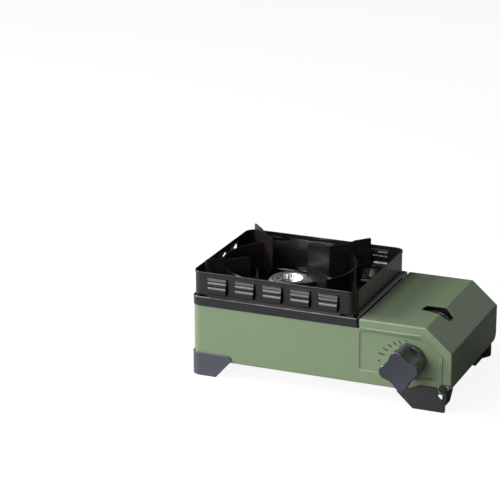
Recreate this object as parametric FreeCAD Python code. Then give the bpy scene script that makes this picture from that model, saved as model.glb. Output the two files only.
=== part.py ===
import FreeCAD, Part
import math
import os

# Compact portable gas stove, in millimetres.
# +X to the right, +Y to the back, +Z up.  The origin is on the ground, at the
# middle of the overall width and depth.  The knob faces -Y.  The functions draw
# from the middle of the body and knob, and save() moves each piece to the origin.

V = FreeCAD.Vector
os.makedirs("parts", exist_ok=True)

# ---------------------------------------------------------------- driving sizes
BODY_WIDTH = 286.0         # left feet to the lid's side
BODY_DEPTH = 157.8
KNOB_REACH = 35.2          # body's front to the knob's face
OVERALL_HEIGHT = 124.5
GROUND_GAP = 17.8          # ground to the underside of the tray
SEAM_Z = 29.0              # tray to shell
BODY_TOP = 77.5
RIM_TOP = 87.8             # drip pan's rim
GUARD_TOP = 114.1
LID_TOP = 87.5
FOOT_PROUD = 1.5
BODY_CORNER = 9.0

BODY_SHEET = 0.8
PANEL_STEP = 0.9           # depth of the control panel's recess
PANEL_SLOPE = 1.3          # width of the recess's sloped sides
PANEL_BACKING = 0.9        # second sheet behind the control panel
LID_SHEET = 0.8
PAN_SHEET = 0.7
GUARD_SHEET = 0.8
SHIELD_SHEET = 0.6
BLADE_SHEET = 1.2
ARC_SHEET = 0.8

RUN = 0.05                 # radial running clearance of a shaft
GAP = 0.3                  # clearance between bodies
SEAT = 0.2                 # lift-off piece above its seat

# body and tray
LEFT = -BODY_WIDTH / 2 + FOOT_PROUD
RIGHT = BODY_WIDTH / 2
FRONT = -(BODY_DEPTH + KNOB_REACH) / 2 + KNOB_REACH
BACK = FRONT + BODY_DEPTH
SHELL_FLANGE = 4.9
HINGE_STRIP_END = 62.0     # the shell's top strip beside the pan
TRAY_RIGHT = 141.6
TRAY_BEVEL = 8.2

# cartridge axis: the knob, the regulator and the cartridge share it
AXIS_X = 98.4
AXIS_Z = 50.9
CARTRIDGE_R = 33.3
RECEIVER_Y = 14.0

# lid
LID_LEFT = 43.6
LID_CREASE_X = 115.4
LID_SHOULDER_Z = 63.3
LID_SIDE_BOTTOM = 25.6
LID_LIP = 9.5              # height of the front flange
LID_BEND = 3.0
HEM_WIDTH = 1.3            # lip's edge, folded out over the gap
HEM_PROUD = 1.1
LID_CURL_R = 2.0
HINGE_ROD_R = 1.2
BRACKET_W = 3.0

# drip pan and wind guard
PAN_PROUD = 0.8
PAN_RIGHT = 42.2
PAN_CORNER = 10.0
PAN_WELL_INSET = 6.3
PAN_HEM = 4.0              # skirt's lower edge, folded in over the shell
PAN_FLOOR = 73.0
PAN_HOLE_R = 31.0
GUARD_SIDE = 0.3           # guard's wall inside the body's line, left
GUARD_END = 2.4            # the same, front and back
GUARD_RIGHT = 39.5
GUARD_CORNER = 10.0
LOUVRE_LENGTH = 23.0
LOUVRE_HEIGHT = 18.6
LOUVRE_Z = 90.7
LOUVRE_PITCH = 30.7
LOUVRE_DEPTH = 5.3

# burner and pot support
BURNER_X = -63.0
BURNER_Y = 17.6
BURNER_R = 22.9
BURNER_TOP = 92.7
BOWL_R = 19.0
BOWL_BOTTOM = 36.0
RING_R = 70.7
RING_TOP = 110.7
RING_BOTTOM = 80.0
BLADE_INNER = 46.0
BLADE_OUTER = 94.9
BLADE_INNER_TOP = 121.3
TUBE_Z = 46.0              # mixing tube and gas pipe

# knob
KNOB_FRONT_R = 21.2
KNOB_VALLEY_R = 15.3
KNOB_LOBE_R = 7.6
KNOB_BACK_SCALE = 0.86
KNOB_TURN = 10.5           # degrees, as it stands in the off position
SHAFT_R = 3.0
SPINDLE_R = 1.5
CAM_R = 7.0
CAM_RISE = 3.0             # over a quarter turn
SCREW_R = 1.5


# ---------------------------------------------------------------- shape tools
def on_plane(plane, u, v, w):
    """Point with in-plane coordinates u, v at w along the plane's normal."""
    if plane == "xy":
        return V(u, v, w)
    if plane == "xz":
        return V(u, w, v)
    return V(w, u, v)


def outline(plane, corners, w):
    """Closed wire through corners (u, v, radius), with arcs at the corners."""
    n = len(corners)
    starts, ends, arcs = [], [], []
    for i in range(n):
        u, v, r = corners[i]
        here = V(u, v, 0)
        before = V(*corners[i - 1][:2], 0).sub(here)
        after = V(*corners[(i + 1) % n][:2], 0).sub(here)
        if r <= 0:
            starts.append(here)
            ends.append(here)
            arcs.append(None)
            continue
        before.normalize()
        after.normalize()
        half = before.getAngle(after) / 2
        middle = before.add(after)
        middle.normalize()
        reach = r / math.tan(half)
        centre = here.add(middle.multiply(r / math.sin(half)))
        starts.append(here.add(V(before).multiply(reach)))
        ends.append(here.add(V(after).multiply(reach)))
        towards = here.sub(centre)
        towards.normalize()
        arcs.append(centre.add(towards.multiply(r)))
    edges = []
    for i in range(n):
        a, b = starts[i], ends[i]
        if arcs[i]:
            three = [on_plane(plane, p.x, p.y, w) for p in (a, arcs[i], b)]
            edges.append(Part.Arc(*three).toShape())
        c = starts[(i + 1) % n]
        if b.distanceToPoint(c) > 1e-6:
            edges.append(Part.makeLine(on_plane(plane, b.x, b.y, w), on_plane(plane, c.x, c.y, w)))
    return Part.Wire(edges)


def prism(plane, corners, w0, w1):
    """Solid of a rounded outline between two levels of the plane's normal."""
    push = on_plane(plane, 0, 0, w1 - w0)
    return Part.Face(outline(plane, corners, w0)).extrude(push)


def block(x0, x1, y0, y1, z0, z1):
    return Part.makeBox(x1 - x0, y1 - y0, z1 - z0, V(x0, y0, z0))


def rod(start, direction, length, radius):
    return Part.makeCylinder(radius, length, V(*start), V(*direction))


def tube(start, direction, length, outer, inner):
    return rod(start, direction, length, outer).cut(rod(start, direction, length, inner))


def rounded_box(x0, x1, y0, y1, z0, z1, left, right):
    """Upright block with one radius on its left corners and one on its right."""
    corners = [(x0, y0, left), (x1, y0, right), (x1, y1, right), (x0, y1, left)]
    return prism("xy", corners, z0, z1)


def edges_at(shape, test):
    """Edges whose every vertex passes the test."""
    return [e for e in shape.Edges if all(test(v.Point) for v in e.Vertexes)]


def revolved(x, y, profile):
    """Solid of revolution about a vertical axis, from (radius, z, corner) points."""
    face = Part.Face(outline("xz", profile, 0))
    solid = face.revolve(V(0, 0, 0), V(0, 0, 1), 360)
    solid.translate(V(x, y, 0))
    return solid


def joined(shapes):
    """One solid from overlapping or touching shapes."""
    first = shapes[0]
    return first.multiFuse(shapes[1:]).removeSplitter()


def wire_tube(points, radius):
    """Round tube along straight runs joined by tangent arcs."""
    pts = [V(*p) for p in points]
    runs = [pts[i + 1].sub(pts[i]).Length for i in range(len(pts) - 1)]
    edges = []
    last = pts[0]
    for i in range(1, len(pts) - 1):
        back = pts[i - 1].sub(pts[i])
        ahead = pts[i + 1].sub(pts[i])
        back.normalize()
        ahead.normalize()
        reach = 0.45 * min(runs[i - 1], runs[i])
        half = back.getAngle(ahead) / 2
        bend = reach * math.tan(half)
        middle = back.add(ahead)
        middle.normalize()
        centre_gap = bend / math.sin(half)
        start = pts[i].add(V(back).multiply(reach))
        end = pts[i].add(V(ahead).multiply(reach))
        top = pts[i].add(V(middle).multiply(centre_gap - bend))
        edges.append(Part.makeLine(last, start))
        edges.append(Part.Arc(start, top, end).toShape())
        last = end
    edges.append(Part.makeLine(last, pts[-1]))
    path = Part.Wire(edges)
    first = pts[1].sub(pts[0])
    section = Part.Wire([Part.makeCircle(radius, pts[0], first)])
    return path.makePipeShell([section], True, False)


def save(name, shape):
    """Write the node's solids, moved from the body's middle to the overall middle."""
    solids = shape.Solids
    whole = solids[0] if len(solids) == 1 else Part.makeCompound(solids)
    left_end = LEFT + GUARD_SIDE - LOUVRE_DEPTH
    back_end = BACK - GUARD_END + LOUVRE_DEPTH
    whole = whole.copy()
    whole.translate(V(-(left_end + RIGHT) / 2, -(back_end + KNOB_FACE) / 2, 0))
    whole.exportStep("parts/%s.step" % name)
    print(name, len(solids), "solids", round(whole.Volume, 1), "valid", whole.isValid())


# ---------------------------------------------------------------- lid outline
def lid_corner_points(inset):
    """Crease and shoulder of the lid's outline, moved in by inset."""
    fall = LID_TOP - LID_SHOULDER_Z
    run = RIGHT - LID_CREASE_X
    slope = math.atan2(fall, run)
    crease = (LID_CREASE_X - inset * math.tan(slope / 2), LID_TOP - inset)
    shoulder_shift = inset * math.tan((math.pi / 2 - slope) / 2)
    shoulder = (RIGHT - inset, LID_SHOULDER_Z - shoulder_shift)
    return crease, shoulder


# ---------------------------------------------------------------- body shell
def make_body_shell():
    panel_gap = LID_LIP + 0.8
    crease, shoulder = lid_corner_points(panel_gap + 0.5)
    panel_right = shoulder[0]
    block_out = rounded_box(LEFT, panel_right, FRONT, BACK, SEAM_Z, BODY_TOP, BODY_CORNER, 0)
    top = edges_at(block_out, lambda p: p.z > BODY_TOP - 0.01 and p.x < panel_right + 1)
    top = [e for e in top if e.CenterOfMass.x < panel_right - 1]
    block_out = block_out.makeFillet(BODY_SHEET * 1.4, top)
    t = BODY_SHEET
    hollow = rounded_box(LEFT + t, panel_right + t, FRONT + t, BACK - t, SEAM_Z - t,
                         BODY_TOP - t, BODY_CORNER - t, 0)
    shell = block_out.cut(hollow)
    # the bay side keeps only the front wall
    shell = shell.cut(block(HINGE_STRIP_END, panel_right + t, FRONT + t, BACK + t, 0, BODY_TOP + t))
    # the front wall is doubled behind the control panel
    backing = block(LID_LEFT - 2, panel_right, FRONT + t - 0.01, FRONT + t + PANEL_BACKING,
                    SEAM_Z, BODY_TOP)
    shell = shell.fuse(backing)
    # opening for the pan's well
    f = SHELL_FLANGE
    well_right = PAN_RIGHT - PAN_WELL_INSET + 2.5
    shell = shell.cut(rounded_box(LEFT + f, well_right, FRONT + f, BACK - f, BODY_TOP - 3 * t,
                                  BODY_TOP + t, BODY_CORNER - 2, 4))
    # the front wall follows the lid's flange
    slope = (LID_TOP - LID_SHOULDER_Z) / (RIGHT - LID_CREASE_X)
    top_x = crease[0] - (BODY_TOP - crease[1]) / slope
    corner = [(top_x - 2, BODY_TOP + 2 * slope, 0), (panel_right + 2, BODY_TOP + 2 * slope, 0),
              (panel_right + 2, shoulder[1] - 2 * slope, 0)]
    shell = shell.cut(prism("xz", corner, FRONT - t, FRONT + 4 * t))
    # control panel: a shallow pressed recess with sloped sides
    rims = []
    for inset, depth in ((0.0, -0.02), (PANEL_SLOPE, PANEL_STEP)):
        lower = SEAM_Z + 2.6 + inset
        left = LID_LEFT + 0.7 + inset
        high, side = lid_corner_points(panel_gap + 2.0 + inset)
        panel = [(left, lower, 3.0), (side[0], lower, 4.5), (side[0], side[1], 3.0),
                 (high[0], high[1], 3.0), (left, high[1], 3.0)]
        rims.append(outline("xz", panel, FRONT + depth))
    shell = shell.cut(Part.makeLoft(rims, True))
    # hole for the shaft's bush
    shell = shell.cut(rod((AXIS_X, FRONT - 5, AXIS_Z), (0, 1, 0), 10, SHAFT_R + 2))
    return shell


def make_bottom_tray():
    t = BODY_SHEET

    def tray_block(inset, top):
        floor = GROUND_GAP + inset
        side = [(LEFT + inset, floor, 0), (TRAY_RIGHT - TRAY_BEVEL - inset * 0.4, floor, 0),
                (TRAY_RIGHT - inset, GROUND_GAP + TRAY_BEVEL + inset * 0.4, 0),
                (TRAY_RIGHT - inset, top, 0), (LEFT + inset, top, 0)]
        plan = rounded_box(LEFT + inset, TRAY_RIGHT - inset, FRONT + inset, BACK - inset, 0, top,
                           BODY_CORNER - inset, 3 - inset)
        return prism("xz", side, FRONT - 1, BACK + 1).common(plan)

    outer = tray_block(0, SEAM_Z)
    low = edges_at(outer, lambda p: abs(p.z - GROUND_GAP) < 0.01)
    outer = outer.makeFillet(1.5, low)
    tray = outer.cut(tray_block(t, SEAM_Z + t))
    # the cartridge's end passes over the back wall
    reach = CARTRIDGE_R + 1.5
    tray = tray.cut(block(AXIS_X - reach, AXIS_X + reach - 2, BACK - 2 * t, BACK + t,
                          GROUND_GAP + t, SEAM_Z + t))
    # air slots under the burner
    for i in range(7):
        x = BURNER_X - 45 + 15 * i
        for y in (BURNER_Y - 40, BURNER_Y + 40):
            slot = [(x - 2, y - 12, 2), (x + 2, y - 12, 2), (x + 2, y + 12, 2), (x - 2, y + 12, 2)]
            slot = [(u, v, 1.99) for u, v, r in slot]
            tray = tray.cut(prism("xy", slot, GROUND_GAP - 1, GROUND_GAP + t + 1))
    # round recess and post hole of the front right foot
    tray = tray.cut(rod((FOOT_SCREW_X, FRONT - 1, FOOT_SCREW_Z), (0, 1, 0), 2 + t, FOOT_SCREW_POCKET))
    tray = tray.cut(block(FOOT_SCREW_X - FOOT_SCREW_POCKET - GAP, FOOT_SCREW_X + FOOT_SCREW_POCKET + GAP,
                          FRONT + t, POST_Y1 + GAP, GROUND_GAP - 1, GROUND_GAP + TRAY_BEVEL))
    return tray


# ---------------------------------------------------------------- feet
FOOT_WALL = 3.0
FOOT_TOP = 25.8
FOOT_SCREW_X = 134.7
FOOT_SCREW_Z = 24.3
FOOT_SCREW_POCKET = 4.6
EAR_X0 = 135.4             # side ear of the front right foot
EAR_X1 = 138.6
EAR_LOW = 8.2
POST_X0 = FOOT_SCREW_X - 4.0
POST_X1 = FOOT_SCREW_X + 3.6
POST_Y0 = FRONT + BODY_SHEET + 0.2
POST_Y1 = FRONT + 8.0


def corner_foot(back):
    """Left foot: wraps the body's rounded corner and stands proud of it."""
    p = FOOT_PROUD
    over = rounded_box(LEFT - p, 60, FRONT - p, BACK + p, 0, FOOT_TOP, BODY_CORNER + p, 1)
    low = edges_at(over, lambda q: q.z < 0.01 and q.x < 50)
    top = edges_at(over, lambda q: q.z > FOOT_TOP - 0.01 and q.x < 50)
    over = over.makeFillet(0.8, low + top)
    w = FOOT_WALL
    inside = rounded_box(LEFT - p + w, 61, FRONT - p + w, BACK + p - w, -1, GROUND_GAP - w,
                         BODY_CORNER + p - w, 1)
    body = rounded_box(LEFT - 0.02, 61, FRONT - 0.02, BACK + 0.02, GROUND_GAP, FOOT_TOP + 1,
                       BODY_CORNER, 1)
    skin = over.cut(inside).cut(body)
    corner_x = LEFT - p

    def flank(start, sign):
        return [(start, 0, 0), (start + sign * 28.7, 0, 0.6), (start + sign * 48.0, 22.0, 3),
                (start + sign * 43.0, FOOT_TOP, 3), (start, FOOT_TOP, 0)]

    reach = BODY_CORNER + 8
    if back:
        y_corner, sign, band = BACK + p, -1, (BACK + p - reach, BACK + p)
    else:
        y_corner, sign, band = FRONT - p, 1, (FRONT - p, FRONT - p + reach)
    along_x = prism("xz", flank(corner_x, 1), band[0], band[1])
    along_y = prism("yz", flank(y_corner, sign), corner_x, corner_x + reach)
    foot = skin.common(along_x.fuse(along_y))
    # screw boss under the tray
    x = LEFT + 14
    y = y_corner + sign * 14
    boss = rod((x, y, 4), (0, 0, 1), GROUND_GAP - 4, 5.5)
    foot = foot.fuse(boss).cut(rod((x, y, 0), (0, 0, 1), 8, 4.0))
    return foot.cut(rod((x, y, 0), (0, 0, 1), GROUND_GAP, SCREW_R))


def right_foot_front():
    """Thin plate with a notched corner, a boxed sole, a side ear and the screw post."""
    face = FRONT - 2.0
    back = FRONT - 0.05
    plate = [(103.4, 0, 0.6), (137.5, 0, 1.5), (137.6, 9.4, 0.9), (134.9, 12.9, 2.5),
             (131.9, 14.6, 2.5), (129.5, 17.6, 2), (128.4, FOOT_TOP, 1), (110.2, FOOT_TOP, 2),
             (99.4, 21.7, 6), (85.3, 16.8, 1.2)]
    front = prism("xz", plate, face, back)
    sole_right = 124.0
    box = [(105.0, 0, 0.4), (sole_right, 0, 0.6), (sole_right, GROUND_GAP, 0.6),
           (91.6, GROUND_GAP, 0.6), (88.6, 15.6, 1)]
    sole = prism("xz", box, back - 0.01, FRONT + 14)
    hollow = [(107.5, 3, 1), (sole_right - 3, 3, 1), (sole_right - 3, GROUND_GAP - 3, 1),
              (95, GROUND_GAP - 3, 1)]
    sole = sole.cut(prism("xz", hollow, face + FOOT_WALL, FRONT + 15))
    # ear under the tray's slanted edge
    side = [(face + 0.6, EAR_LOW, 0.5), (FRONT + 12.4, EAR_LOW + 0.4, 1.2),
            (FRONT + 14.4, EAR_LOW + 2.4, 0.5), (FRONT + 21, GROUND_GAP - 0.4, 0.5),
            (FRONT + 21, FOOT_TOP, 0), (face + 0.6, FOOT_TOP, 0)]
    ear = prism("yz", side, EAR_X0, EAR_X1)
    bevel_x = TRAY_RIGHT - TRAY_BEVEL
    under = [(EAR_X0 - 1, EAR_LOW - 1, 0), (EAR_X1 + 1, EAR_LOW - 1, 0),
             (EAR_X1 + 1, GROUND_GAP + EAR_X1 + 1 - bevel_x - 0.15, 0),
             (EAR_X0 - 1, GROUND_GAP + EAR_X0 - 1 - bevel_x - 0.15, 0)]
    ear = ear.common(prism("xz", under, face, FRONT + 22))
    low_post = block(bevel_x + 0.3, EAR_X0 + 1, POST_Y0, POST_Y1, EAR_LOW + 3, GROUND_GAP + 1)
    post = block(POST_X0, POST_X1, POST_Y0, POST_Y1, GROUND_GAP + 0.3, SEAM_Z - 0.4)
    boss = rod((FOOT_SCREW_X, POST_Y0, FOOT_SCREW_Z), (0, 1, 0), 2.5, FOOT_SCREW_POCKET - 0.1)
    foot = joined([front, sole, ear, low_post, post, boss])
    return foot.cut(rod((FOOT_SCREW_X, POST_Y0 - 1, FOOT_SCREW_Z), (0, 1, 0), 12, SCREW_R))


def right_foot_rear():
    """Boxed sole with a plate behind that reaches past it, and a flank along the side."""
    face = BACK + FOOT_PROUD
    plate = [(88, 0, 0.6), (127.0, 0, 0.8), (138.0, 4.8, 1.5), (138.0, 18.4, 0.6),
             (134.4, 18.4, 0), (133.6, GROUND_GAP - 0.05, 0), (76, GROUND_GAP - 0.05, 0.5),
             (72, 15.5, 1)]
    rear = prism("xz", plate, face - FOOT_WALL, face)
    right = 128.4
    box = [(88, 0, 0.6), (right, 0, 0.6), (right, GROUND_GAP - 0.05, 0),
           (76, GROUND_GAP - 0.05, 0.5), (72, 15.5, 1)]
    sole = prism("xz", box, face - 14, face - 1)
    hollow = [(91.5, 3, 1), (right - 3, 3, 1), (right - 3, GROUND_GAP - 3, 1),
              (80, GROUND_GAP - 3, 1)]
    sole = sole.cut(prism("xz", hollow, face - 15, face - FOOT_WALL))
    side = [(face - 1, 0, 0), (BACK - 23, 0, 1.0), (BACK - 44.4, GROUND_GAP - 0.05, 0.5),
            (face - 1, GROUND_GAP - 0.05, 0)]
    flank = prism("yz", side, right - FOOT_WALL, right)
    boss = rod((104, face - 9, 2), (0, 0, 1), GROUND_GAP - 2.05, 4.8)
    foot = joined([rear, sole, flank, boss]).cut(rod((104, face - 9, 0), (0, 0, 1), 6, 3.6))
    return foot.cut(rod((104, face - 9, 0), (0, 0, 1), GROUND_GAP, SCREW_R))


def pan_head_screw(start, direction, length, head_r=3.2, head_t=1.8, core=SCREW_R - 0.02):
    """Cross-recess screw; start is under the head, direction is the way it goes in."""
    d = V(*direction)
    s = V(*start)
    back = V(d).multiply(-head_t)
    head = Part.makeCylinder(head_r, head_t, s.add(back), d)
    rim = [e for e in head.Edges if e.CenterOfMass.distanceToPoint(s.add(back)) < 0.1]
    head = head.makeFillet(head_t * 0.55, [e for e in rim if e.Length > head_r * 3])
    shank = Part.makeCylinder(core, length, s, d)
    screw = head.fuse(shank)
    side = V(d.y, d.z, d.x)
    other = d.cross(side)
    for a, b in ((side, other), (other, side)):
        arm = Part.makeBox(head_r * 1.1, 0.7, 1.1)
        arm.translate(V(-head_r * 0.55, -0.35, -0.1))
        place = FreeCAD.Matrix(a.x, b.x, d.x, 0, a.y, b.y, d.y, 0, a.z, b.z, d.z, 0, 0, 0, 0, 1)
        arm = arm.transformGeometry(place)
        arm.translate(s.add(back))
        screw = screw.cut(arm)
    return screw


def make_foot_screws():
    p = FOOT_PROUD
    screws = [pan_head_screw((LEFT + 14, FRONT - p + 14, 8), (0, 0, 1), GROUND_GAP - 8),
              pan_head_screw((LEFT + 14, BACK + p - 14, 8), (0, 0, 1), GROUND_GAP - 8),
              pan_head_screw((104, BACK + p - 9, 6), (0, 0, 1), GROUND_GAP - 6)]
    return Part.makeCompound(screws)


def make_corner_screw():
    """Blackened screw in the round recess of the front right corner."""
    return pan_head_screw((FOOT_SCREW_X, POST_Y0, FOOT_SCREW_Z), (0, 1, 0), 6, 3.4, 1.6)


# ---------------------------------------------------------------- dial scale
DIAL_X = 103.5
DIAL_Z = 45.4


def make_dial_scale():
    """Printed ticks that shorten towards the low end, and a mark at each end."""
    face = FRONT + PANEL_STEP
    ink = 0.12
    marks = []
    for i in range(5):
        angle = math.radians(168 - 10.8 * i)
        outer = 39.4 - 2.5 * i
        inner = 32.7 - 1.6 * i
        tick = block(inner, outer, 0, ink, -0.65, 0.65)
        tick.rotate(V(0, 0, 0), V(0, 1, 0), -math.degrees(angle))
        tick.translate(V(DIAL_X, face - ink, DIAL_Z))
        marks.append(tick)
    for angle, reach in ((180, 37.6), (110, 26.9)):
        a = math.radians(angle)
        x = DIAL_X + reach * math.cos(a)
        z = DIAL_Z + reach * math.sin(a)
        marks.append(rod((x, face - ink, z), (0, 1, 0), ink, 1.0))
    line = block(114.5, 124.5, face - ink, face, SEAM_Z + 4.4, SEAM_Z + 5.2)
    marks.append(line)
    return Part.makeCompound(marks)


# ---------------------------------------------------------------- heat shield and bay
SHIELD_X = 56.0


def make_heat_shield():
    """Upright wall between the burner side and the cartridge bay."""
    t = SHIELD_SHEET
    floor = GROUND_GAP + BODY_SHEET
    under = BODY_TOP - BODY_SHEET
    y0 = FRONT + 2.0
    y1 = BACK - 2.0
    wall = block(SHIELD_X, SHIELD_X + t, y0, y1, floor, under)
    foot = block(SHIELD_X - 8, SHIELD_X, y0 + 10, y1 - 10, floor, floor + t)
    shield = wall.fuse(foot).removeSplitter()
    shield = shield.cut(rod((SHIELD_X - 1, PIPE_Y, TUBE_Z), (1, 0, 0), 3, 3.5))
    shield = shield.cut(rod((SHIELD_X - 1, LEAD_Y, LEAD_Z), (1, 0, 0), 3, 2.6))
    y = BURNER_Y
    z = HEAT_PANEL_Z
    return shield.cut(block(SHIELD_X - 1, SHIELD_X + 2, y - 13, y + 13, z - 0.8, z + 1.6))


def make_cartridge_cradle():
    """Two saddle rails that carry the cartridge, on a plate fixed to the floor."""
    floor = GROUND_GAP + BODY_SHEET
    t = 0.8
    lean = math.radians(48)
    reach = CARTRIDGE_R + 0.4
    rails = []
    for sign in (-1, 1):
        mid_x = AXIS_X + sign * reach * math.sin(lean)
        mid_z = AXIS_Z - reach * math.cos(lean)
        dx = 6 * math.cos(lean)
        dz = 6 * math.sin(lean)
        nx = sign * t * math.sin(lean)
        nz = -t * math.cos(lean)
        low = (mid_x - sign * dx, mid_z - dz)
        high = (mid_x + sign * dx, mid_z + dz)
        rail = [(low[0], low[1], 0), (high[0], high[1], 0), (high[0] + nx, high[1] + nz, 0),
                (low[0] + sign * t + nx, low[1] + nz, 0), (low[0] + sign * t, floor, 0),
                (low[0], floor, 0)]
        for y0, y1 in ((RECEIVER_Y + 18, RECEIVER_Y + 34), (BACK - 26, BACK - 8)):
            rails.append(prism("xz", rail, y0, y1))
    return Part.makeCompound(rails)


HEAT_PANEL_Z = 60.0


def make_heat_panel():
    """Strip that carries a little burner heat to the cartridge's side."""
    t = 0.8
    z = HEAT_PANEL_Z
    y0 = BURNER_Y - 12
    y1 = BURNER_Y + 12
    touch = AXIS_X - CARTRIDGE_R - 0.4
    bowl = BURNER_X + BOWL_R
    points = [(bowl + 0.5, z, 0), (touch - 1.5, z, 0), (touch - 1.5, z - 16, 0),
              (touch - 1.5 + t, z - 16, 0), (touch - 1.5 + t, z + t, 0), (bowl + 0.5, z + t, 0)]
    return prism("xz", points, y0, y1)


# ---------------------------------------------------------------- regulator group
REG_FRONT = -36.0
REG_BACK = 6.0
REG_R = 17.0
BONNET_FRONT = -46.0
BONNET_R = 8.0
DIAPHRAGM_Y = -15.0
DIAPHRAGM_R = 15.5
PIPE_Y = -20.0
LEAD_Y = -46.0
LEAD_Z = 26.0


def make_regulator_body():
    a = (AXIS_X, REG_FRONT, AXIS_Z)
    body = rod(a, (0, 1, 0), REG_BACK - REG_FRONT, REG_R)
    bonnet = rod((AXIS_X, BONNET_FRONT, AXIS_Z), (0, 1, 0), REG_FRONT - BONNET_FRONT + 1, BONNET_R)
    neck = rod((AXIS_X, REG_BACK - 1, AXIS_Z), (0, 1, 0), RECEIVER_Y - REG_BACK + 1, 12.0)
    seat = rod((AXIS_X, DIAPHRAGM_Y, AXIS_Z), (0, 0, 1), REG_R + 1.5, DIAPHRAGM_R)
    base = block(AXIS_X - 13, AXIS_X + 13, REG_FRONT + 4, REG_BACK - 4,
                 GROUND_GAP + BODY_SHEET, AXIS_Z - 10)
    side = rod((AXIS_X, PIPE_Y, TUBE_Z), (-1, 0, 0), REG_R + 3, 5.0)
    body = joined([body, bonnet, neck, seat, base, side])
    body = body.cut(rod((AXIS_X, BONNET_FRONT - 1, AXIS_Z), (0, 1, 0), 10, SHAFT_R + RUN))
    body = body.cut(rod((AXIS_X, BONNET_FRONT, AXIS_Z), (0, 1, 0), 36, SPINDLE_R + RUN))
    body = body.cut(rod((AXIS_X, RECEIVER_Y + 1, AXIS_Z), (0, -1, 0), 8, 6.0))
    return body.cut(rod((AXIS_X - REG_R - 4, PIPE_Y, TUBE_Z), (1, 0, 0), 6, 3.0))


def make_diaphragm_cover():
    z = AXIS_Z + REG_R + 1.5
    disc = rod((AXIS_X, DIAPHRAGM_Y, z), (0, 0, 1), 2.2, DIAPHRAGM_R)
    dome = rod((AXIS_X, DIAPHRAGM_Y, z), (0, 0, 1), 5.0, 8.0)
    rim = edges_at(dome, lambda p: p.z > z + 4.9)
    dome = dome.makeFillet(1.2, rim)
    cover = disc.fuse(dome)
    for x, y in cover_screw_places():
        cover = cover.cut(rod((x, y, z - 1), (0, 0, 1), 5, SCREW_R))
    return cover


def cover_screw_places():
    reach = DIAPHRAGM_R - 3.2
    turns = [math.radians(45 + 90 * i) for i in range(4)]
    return [(AXIS_X + reach * math.cos(a), DIAPHRAGM_Y + reach * math.sin(a)) for a in turns]


def make_regulator_screws():
    z = AXIS_Z + REG_R + 1.5 + 2.2
    heads = [rod((x, y, z), (0, 0, 1), 1.4, 2.4) for x, y in cover_screw_places()]
    shanks = [rod((x, y, z - 2.2), (0, 0, 1), 2.2, SCREW_R - 0.05) for x, y in cover_screw_places()]
    return Part.makeCompound([h.fuse(s) for h, s in zip(heads, shanks)])


def receiver_ring(y, thickness, outer, inner):
    return tube((AXIS_X, y, AXIS_Z), (0, 1, 0), thickness, outer, inner)


MAGNET_T = 5.6
FLANGE_R = 27.4
FLANGE_T = 1.4


def make_receiver_cup():
    """Dark red sleeve that centres the cartridge's shoulder."""
    y = RECEIVER_Y + FLANGE_T
    cup = receiver_ring(y, 7.0, FLANGE_R - 0.6, FLANGE_R - 3.0)
    lip = receiver_ring(y, 1.2, FLANGE_R - 0.6, 17.0)
    return cup.fuse(lip).removeSplitter()


def make_locator_key():
    """Key that only lets a cartridge in with its notch upwards."""
    y = RECEIVER_Y + FLANGE_T
    base = block(AXIS_X - 2, AXIS_X + 2, y, y + 1.5, AXIS_Z + 11.5, AXIS_Z + 16.8)
    tongue = block(AXIS_X - 2, AXIS_X + 2, y, y + 7, AXIS_Z + 13.5, AXIS_Z + 15.5)
    return base.fuse(tongue).removeSplitter()


BULKHEAD_Y = RECEIVER_Y + FLANGE_T + 7.6
BULKHEAD_LEFT = 67.0
BULKHEAD_RIGHT = 138.0


def make_bay_bulkhead():
    """Black partition that stops the cartridge's shoulder, with a hole for its collar."""
    t = BODY_SHEET
    floor = GROUND_GAP + BODY_SHEET
    crease, shoulder = lid_corner_points(LID_SHEET + 2.2)
    slope = (crease[1] - shoulder[1]) / (shoulder[0] - crease[0])
    side_z = shoulder[1] + slope * (shoulder[0] - BULKHEAD_RIGHT)
    bevel = TRAY_RIGHT - BULKHEAD_RIGHT - 2.0
    low_x = BULKHEAD_RIGHT - TRAY_BEVEL + bevel
    corners = [(BULKHEAD_LEFT, floor, 0), (low_x, floor, 0),
               (BULKHEAD_RIGHT, floor + BULKHEAD_RIGHT - low_x, 0), (BULKHEAD_RIGHT, side_z, 1),
               (crease[0], crease[1], 1), (BULKHEAD_LEFT, crease[1], 3)]
    plate = prism("xz", corners, BULKHEAD_Y, BULKHEAD_Y + t)
    plate = plate.cut(rod((AXIS_X, BULKHEAD_Y - 1, AXIS_Z), (0, 1, 0), t + 2, FLANGE_R - 1.4))
    foot = block(BULKHEAD_LEFT + 4, low_x - 4, BULKHEAD_Y, BULKHEAD_Y + 6, floor, floor + t)
    return plate.fuse(foot).removeSplitter()


# ---------------------------------------------------------------- gas path and burner
NOZZLE_X = 24.0
NOZZLE_TIP_X = 12.0
NIPPLE_END_X = AXIS_X - 26


def make_outlet_nipple():
    start = AXIS_X - REG_R - 4 + 3
    length = start - NIPPLE_END_X
    body = rod((start, PIPE_Y, TUBE_Z), (-1, 0, 0), length, 2.95)
    hexagon = [(PIPE_Y + 4.6 * math.cos(math.radians(60 * i)),
                TUBE_Z + 4.6 * math.sin(math.radians(60 * i)), 0) for i in range(6)]
    nut = prism("yz", hexagon, NIPPLE_END_X, NIPPLE_END_X + 5)
    return body.fuse(nut)


def make_gas_pipe():
    x = NOZZLE_X + 20
    points = [(NIPPLE_END_X, PIPE_Y, TUBE_Z), (x, PIPE_Y, TUBE_Z), (x, BURNER_Y, TUBE_Z),
              (NOZZLE_X, BURNER_Y, TUBE_Z)]
    return wire_tube(points, 2.0)


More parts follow.
